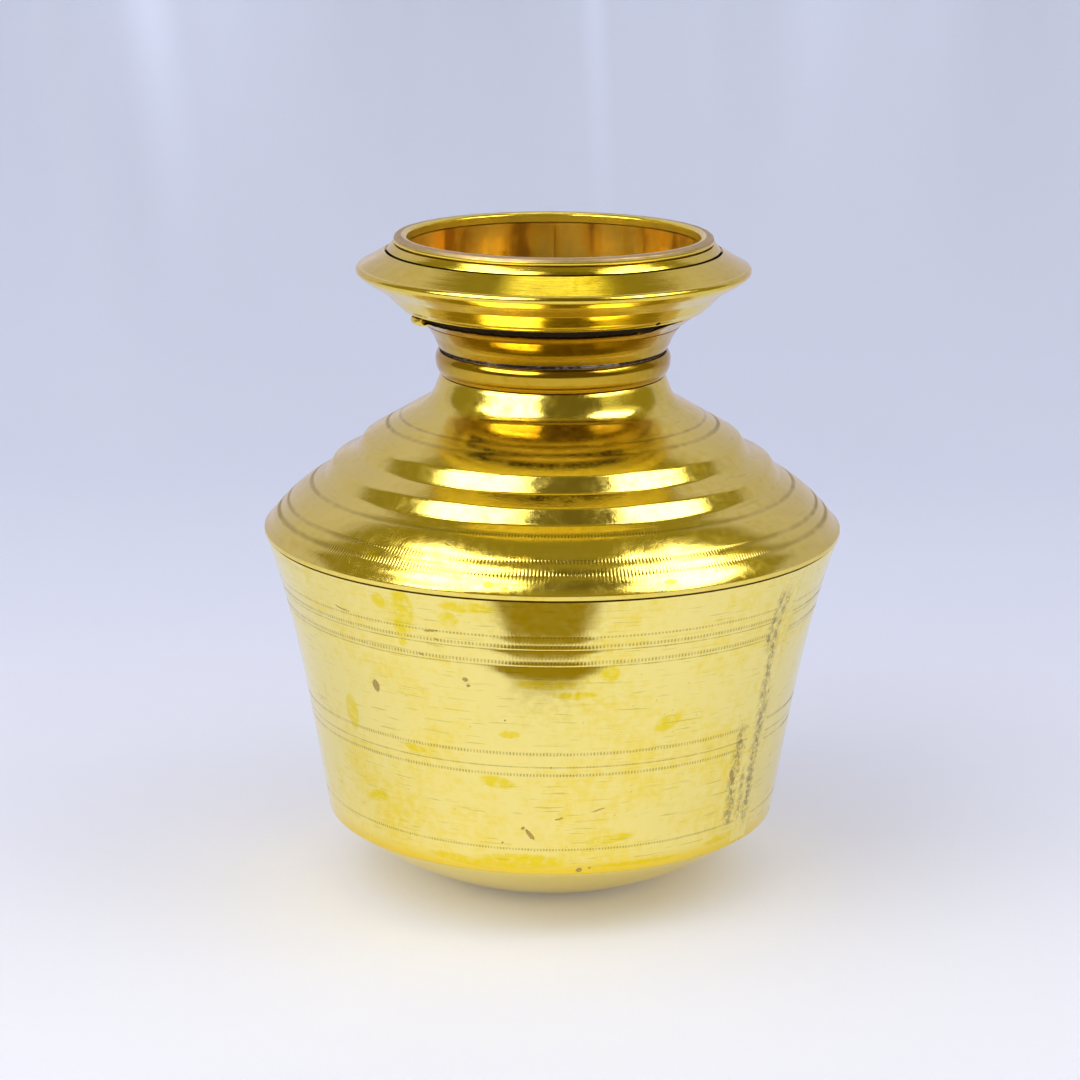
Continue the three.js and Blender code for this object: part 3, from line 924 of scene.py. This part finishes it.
def make_materials():
    tarnish, dirt = wall_marks()
    pale, deep = (0.97, 0.82, 0.26), (0.95, 0.74, 0.09)
    shoulder_tarnish = [[-12, 115.6, 1.5, 0.8, 0], [-8.5, 114.9, 0.8, 0.5, 0],
                        [23, 115.4, 2.0, 0.6, 0], [-38, 119, 2.4, 1.0, 0]]
    neck_dirt = [[16, 170.5, 6, 0.14, 1], [29, 171.0, 4, 0.10, 2],
                 [24, 171.7, 2.5, 0.08, -2], [-34, 170.4, 3, 0.10, 0]]
    return {
        "lip": make_lip_finish(),
        "liner": make_liner_finish(),
        "shade_crust": make_shade_crust_finish(),
        "wall": brass("wall_brass", pale, deep, 0.14, 0.05, grain=1.6, streak=3.5, lean=0, dent=60,
                      tarnish=tarnish, dirt=dirt, speck_share=0.14, lines=WALL_LINES, seam=1.0,
                      scratched=0.45, rich_share=(0.44, 0.70), foot_band=(30.0, 24.5)),
        "base": brass("base_brass", (0.95, 0.82, 0.24), (0.93, 0.74, 0.09), 0.2, 0.05, grain=2,
                      streak=2, lean=1, dent=20),
        "shoulder": brass("shoulder_brass", (0.91, 0.72, 0.15), (0.88, 0.65, 0.05), 0.16, 0.07,
                          grain=20, streak=3, dent=30, tarnish=shoulder_tarnish, grain_scale=1.4,
                          lines=SHOULDER_LINES, scratched=0.25),
        "neck": brass("neck_brass", (0.57, 0.36, 0.03), (0.46, 0.27, 0.012), 0.14, 0.05, grain=1,
                      streak=4, lean=0, dent=10, dirt=neck_dirt, scratched=0.2),
        "rim": brass("rim_brass", (0.87, 0.66, 0.10), (0.79, 0.57, 0.03), 0.14, 0.05, grain=2,
                     streak=30, dent=10, scratched=0.2),
        "inside": brass("inside_brass", (0.16, 0.10, 0.035), (0.09, 0.055, 0.02), 0.55, 0.1, grain=10,
                        streak=2, lean=0, metal=0.6),
        "seam": brass("seam_braze", pale, deep, 0.22, 0.1, grain=12, lean=0, dent=40, seam=1.0,
                      rich_share=(0.45, 0.72), scratched=0.3),
        "braze": brass("braze", (0.40, 0.30, 0.12), (0.25, 0.18, 0.07), 0.55, 0.1, grain=10),
        "solder": brass("solder", (0.40, 0.38, 0.33), (0.045, 0.04, 0.03), 0.5, 0.1, grain=20,
                        rich_share=(0.40, 0.52)),
    }


# ---- stage

def cloth_folds(x, run):
    """How far the cloth stands forward at x, `run` metres up from the floor."""
    rise = min(1.0, max(0.0, run / 0.35))
    lean = x + 0.25 * run
    folds = 0.016 * noise.noise(Vector((lean * 3.1, run * 0.5, 2.0)))
    folds += 0.006 * noise.noise(Vector((lean * 9.0 + 4, run * 0.8, 7.0)))
    folds += 0.014 * math.exp(-((lean + 0.20) / 0.03) ** 2)
    return folds * rise * rise * (3 - 2 * rise)


def cloth_point(x, run):
    """A point of the one cloth that makes the floor (run below 0) and the backdrop."""
    length = CLOTH_RADIUS * math.pi / 2
    turn = min(max(run, 0.0) / CLOTH_RADIUS, math.pi / 2)
    y = CLOTH_START + min(run, 0.0) + CLOTH_RADIUS * math.sin(turn)
    z = CLOTH_RADIUS * (1 - math.cos(turn)) + max(0.0, run - length)
    fold = cloth_folds(x, run)
    return x, y - fold * math.sin(turn), z + fold * math.cos(turn) - 0.0002


def make_stage(material):
    columns, upper = 261, 110
    xs = np.sinh(np.linspace(-4, 4, columns)) / math.sinh(4) * FLOOR_REACH
    runs = [-CLOTH_START - FLOOR_REACH, -2.0, -1.0, -0.5, -0.2, -0.05]
    runs += np.linspace(0, CLOTH_RADIUS * math.pi / 2 + CLOTH_TOP, upper).tolist()
    points = [cloth_point(x, run) for x in xs for run in runs]
    rows = len(runs)
    faces = []
    for i in range(columns - 1):
        beside = abs(xs[i] + xs[i + 1]) / 2 > CLOTH_HALF_WIDTH
        for j in range(rows - 1):
            if beside and runs[j] >= 0:
                continue
            a = i * rows + j
            faces.append((a, a + rows, a + rows + 1, a + 1))
    mesh = bpy.data.meshes.new("floor_cloth")
    mesh.from_pydata(points, [], faces)
    mesh.polygons.foreach_set("use_smooth", np.ones(len(mesh.polygons), bool))
    mesh.materials.append(material)
    behind = bpy.data.meshes.new("floor_behind")
    near, far, under = CLOTH_START, FLOOR_REACH, -0.001
    corners = [(-far, near, under), (far, near, under), (far, far, under), (-far, far, under)]
    behind.from_pydata(corners, [], [(0, 1, 2, 3)])
    behind.materials.append(material)
    for part in (mesh, behind):
        place_mesh(part)


def cloth_material():
    """White cloth that turns to pale lavender towards the back, with painted light and shade of soft folds,
    a painted glow and a tint that only reflections show.
    """
    material, tree, shader = start_material("pale_cloth")
    place = add(tree, "TexCoord", out=3)
    x, y, z = split(tree, place)
    colour = None
    for (near, tint), (far, next_tint) in zip(CLOTH_COLOURS, CLOTH_COLOURS[1:]):
        start = colour if colour is not None else (*tint, 1)
        colour = blend(tree, remap(tree, y, near, far, kind="LINEAR"), start, (*next_tint, 1))
    weave = noise_at(tree, place, 900.0, 1.0, 0.5)
    tone = noise_at(tree, place, 5.0, 4.0, 0.55)
    long = add(tree, "CombineXYZ", times(tree, x, 9.0), 0.0, times(tree, z, 0.8))
    # painted light and shade of folds: soft upright streaks and pale fold bands on the rising cloth
    painted_drape_shade = noise_at(tree, long, 1.0, 3.0, 0.5)
    upright = remap(tree, z, 0.03, 0.30)
    shade = times(tree, centred(tree, painted_drape_shade), 0.42)
    for at, half, lean, bright in CLOTH_FOLD_HIGHLIGHTS:
        slant = times(tree, maths(tree, "SUBTRACT", z, 0.25), -lean * 2.0)
        off = maths(tree, "ABSOLUTE", maths(tree, "SUBTRACT", plus(tree, x, slant), at))
        shade = plus(tree, shade, remap(tree, off, half * 2, 0.0, 0.0, bright))
    shade = times(tree, shade, upright)
    shade = plus(tree, shade, times(tree, centred(tree, tone), 0.05))
    shade = plus(tree, shade, times(tree, centred(tree, weave), 0.03))
    # Painted reflection: the far cloth changes colour only for rays mirrored off the brass
    mirrored = tree.nodes.new("ShaderNodeLightPath").outputs["Is Glossy Ray"]
    warmed = times(tree, mirrored, remap(tree, y, 0.25, 0.70))
    colour = blend(tree, warmed, colour, MIRRORED_TINT, mode="MULTIPLY")
    bright = add(tree, "VectorMath", colour, None, None, plus(tree, shade, 1.0),
                 operation="SCALE")
    flat = add(tree, "CombineXYZ", x, y, 0.0)
    near = add(tree, "VectorMath", flat, operation="LENGTH", out=1)
    # Painted light: the cloth glows faintly everywhere, and warmer in a ring round the pot's foot
    glow_share = times(tree, remap(tree, near, 0.105, 0.045), remap(tree, near, 0.027, 0.045))
    tree.links.new(bright, shader.inputs["Base Color"])
    tree.links.new(blend(tree, glow_share, FILL, POT_GLOW), shader.inputs["Emission Color"])
    shader.inputs["Emission Strength"].default_value = 1.0
    shader.inputs["Roughness"].default_value = 0.9
    shader.inputs["Specular IOR Level"].default_value = 0.1
    return material


def glow(name, colour, strength, matt_share=1.0, soft=False):
    material = bpy.data.materials.new(name)
    material.use_nodes = True
    tree = material.node_tree
    tree.nodes.clear()
    light = tree.nodes.new("ShaderNodeEmission")
    light.inputs[0].default_value = (*colour, 1)
    path = tree.nodes.new("ShaderNodeLightPath")
    share = remap(tree, path.outputs["Is Glossy Ray"], 0, 1, strength * matt_share, strength, "LINEAR")
    if soft:
        share = times(tree, share, add(tree, "Attribute", out=2, attribute_name="soft"))
    tree.links.new(share, light.inputs[1])
    tree.links.new(light.outputs[0], tree.nodes.new("ShaderNodeOutputMaterial").inputs[0])
    return material


def soft_panel(name, azimuths, elevations, distance, colour, strength):
    """A curved soft light panel that fills these angles as the pot sees them."""
    columns, rows = 48, 32
    centre = Vector((0, 0, PANEL_MIDDLE))
    points, faces = [], []
    for a in np.radians(np.linspace(*azimuths, columns)):
        for e in np.radians(np.linspace(*elevations, rows)):
            away = Vector((math.sin(a) * math.cos(e), -math.cos(a) * math.cos(e), math.sin(e)))
            points.append(centre + away * distance)
    for i in range(columns - 1):
        for j in range(rows - 1):
            a = i * rows + j
            faces.append((a, a + 1, a + rows + 1, a + rows))
    mesh = bpy.data.meshes.new(name)
    mesh.from_pydata(points, [], faces)
    soft = mesh.attributes.new("soft", "FLOAT", "POINT")
    u, v = np.meshgrid(np.linspace(-1, 1, columns), np.linspace(-1, 1, rows), indexing="ij")
    out = (u ** 4 + v ** 4) ** 0.25
    soft.data.foreach_set("value", np.clip((1 - out) / PANEL_FADE, 0, 1).ravel().astype(np.float32))
    mesh.materials.append(glow(name, colour, strength, PANEL_SHARE, soft=True))
    place_mesh(mesh)


def shade_card():
    """A small dark card with ragged edges in front of the pot, that only reflections show: it paints a dark
    patch into the reflection on the wall.
    """
    mesh = bpy.data.meshes.new("shade_card")
    corners = [(-1, CARD_LOW), (1, CARD_LOW), (1, CARD_TOP), (-1, CARD_TOP)]
    mesh.from_pydata([(way * CARD_HALF_WIDTH, CARD_FRONT, up) for way, up in corners], [], [(0, 1, 2, 3)])
    material = glow("shade_card", CARD_COLOUR, 1.0)
    tree = material.node_tree
    surface = tree.nodes["Material Output"].inputs[0]
    x, _, z = split(tree, add(tree, "TexCoord", out=3))
    rows = add(tree, "CombineXYZ", times(tree, x, 12.0), 0.0, times(tree, z, 420.0))
    wander = times(tree, centred(tree, noise_at(tree, rows, 1.0, 3.0, 0.65)), 0.034)
    off = maths(tree, "ABSOLUTE", plus(tree, plus(tree, x, 0.004), wander))
    half = remap(tree, z, 0.034, 0.066, 0.021, 0.044, "LINEAR")
    side = remap(tree, maths(tree, "SUBTRACT", off, half), 0.004, -0.005)
    foot = remap(tree, plus(tree, z, times(tree, wander, 0.6)), 0.036, 0.041)
    clear = add(tree, "BsdfTransparent")
    shown = add(tree, "MixShader", times(tree, side, foot), clear, surface.links[0].from_socket)
    tree.links.new(shown, surface)
    mesh.materials.append(material)
    card = place_mesh(mesh)
    for rays in ("camera", "diffuse", "shadow", "transmission"):
        setattr(card, "visible_" + rays, False)


def make_world():
    """A dim warm room for reflections, soft ambient light, and a plain pale surround."""
    world = bpy.data.worlds.new("room")
    bpy.context.scene.world = world
    world.use_nodes = True
    tree = world.node_tree
    tree.nodes.clear()
    path = tree.nodes.new("ShaderNodeLightPath")
    direction = add(tree, "TexCoord", out=0)
    room = blend(tree, remap(tree, split(tree, direction)[1], -0.18, -0.45), ROOM, ROOM_FRONT)
    shades = []
    for colour in (room, AMBIENT, SURROUND):
        shade = tree.nodes.new("ShaderNodeBackground")
        if isinstance(colour, bpy.types.NodeSocket):
            tree.links.new(colour, shade.inputs[0])
        else:
            shade.inputs[0].default_value = colour
        shades.append(shade.outputs[0])
    mixed = add(tree, "MixShader", path.outputs["Is Glossy Ray"], shades[1], shades[0])
    mixed = add(tree, "MixShader", path.outputs["Is Camera Ray"], mixed, shades[2])
    tree.links.new(mixed, tree.nodes.new("ShaderNodeOutputWorld").inputs[0])


def make_lights():
    for name, panel in PANELS.items():
        soft_panel(name, *panel)


def make_camera():
    data = bpy.data.cameras.new("camera")
    data.lens = CAMERA_LENS
    data.sensor_width = 36
    data.clip_start = 0.05
    data.clip_end = 50
    camera = bpy.data.objects.new("camera", data)
    bpy.context.scene.collection.objects.link(camera)
    rise = math.radians(CAMERA_HEIGHT_ANGLE)
    away = Vector((0, -math.cos(rise), math.sin(rise))) * CAMERA_DISTANCE
    turn = Matrix.Rotation(math.radians(CAMERA_PAN), 4, "Z")
    turn = turn @ Matrix.Rotation(math.radians(90 - CAMERA_TILT), 4, "X")
    turn = turn @ Matrix.Rotation(math.radians(CAMERA_ROLL), 4, "Z")
    camera.matrix_world = Matrix.Translation(Vector(CAMERA_AIM) + away) @ turn
    bpy.context.scene.camera = camera
    bpy.context.scene.view_settings.view_transform = "Standard"


def make_pot():
    finish = make_materials()
    make_dish(finish["base"], finish["inside"])
    make_braze("pot_base_braze", BASE_BRAZE, finish["braze"], "base_braze")
    make_wall(finish["wall"], finish["inside"])
    make_seam(finish["seam"])
    make_shoulder(finish["shoulder"], finish["inside"])
    make_braze("pot_shoulder_braze", SHOULDER_BRAZE, finish["braze"], "shoulder_braze")
    make_bead(finish["neck"], finish["inside"])
    make_solder(finish["solder"])
    make_tube(finish["neck"], finish["inside"])
    make_flange(finish["neck"], finish["liner"])
    make_flap(finish["shoulder"])
    make_shade_crust(finish["shade_crust"], finish["liner"])
    make_rim(finish["rim"], finish["inside"])
    make_band(finish["rim"])
    make_lip(finish["lip"])
    make_liner(finish["liner"])


make_camera()
make_pot()
make_stage(cloth_material())
shade_card()
make_world()
make_lights()
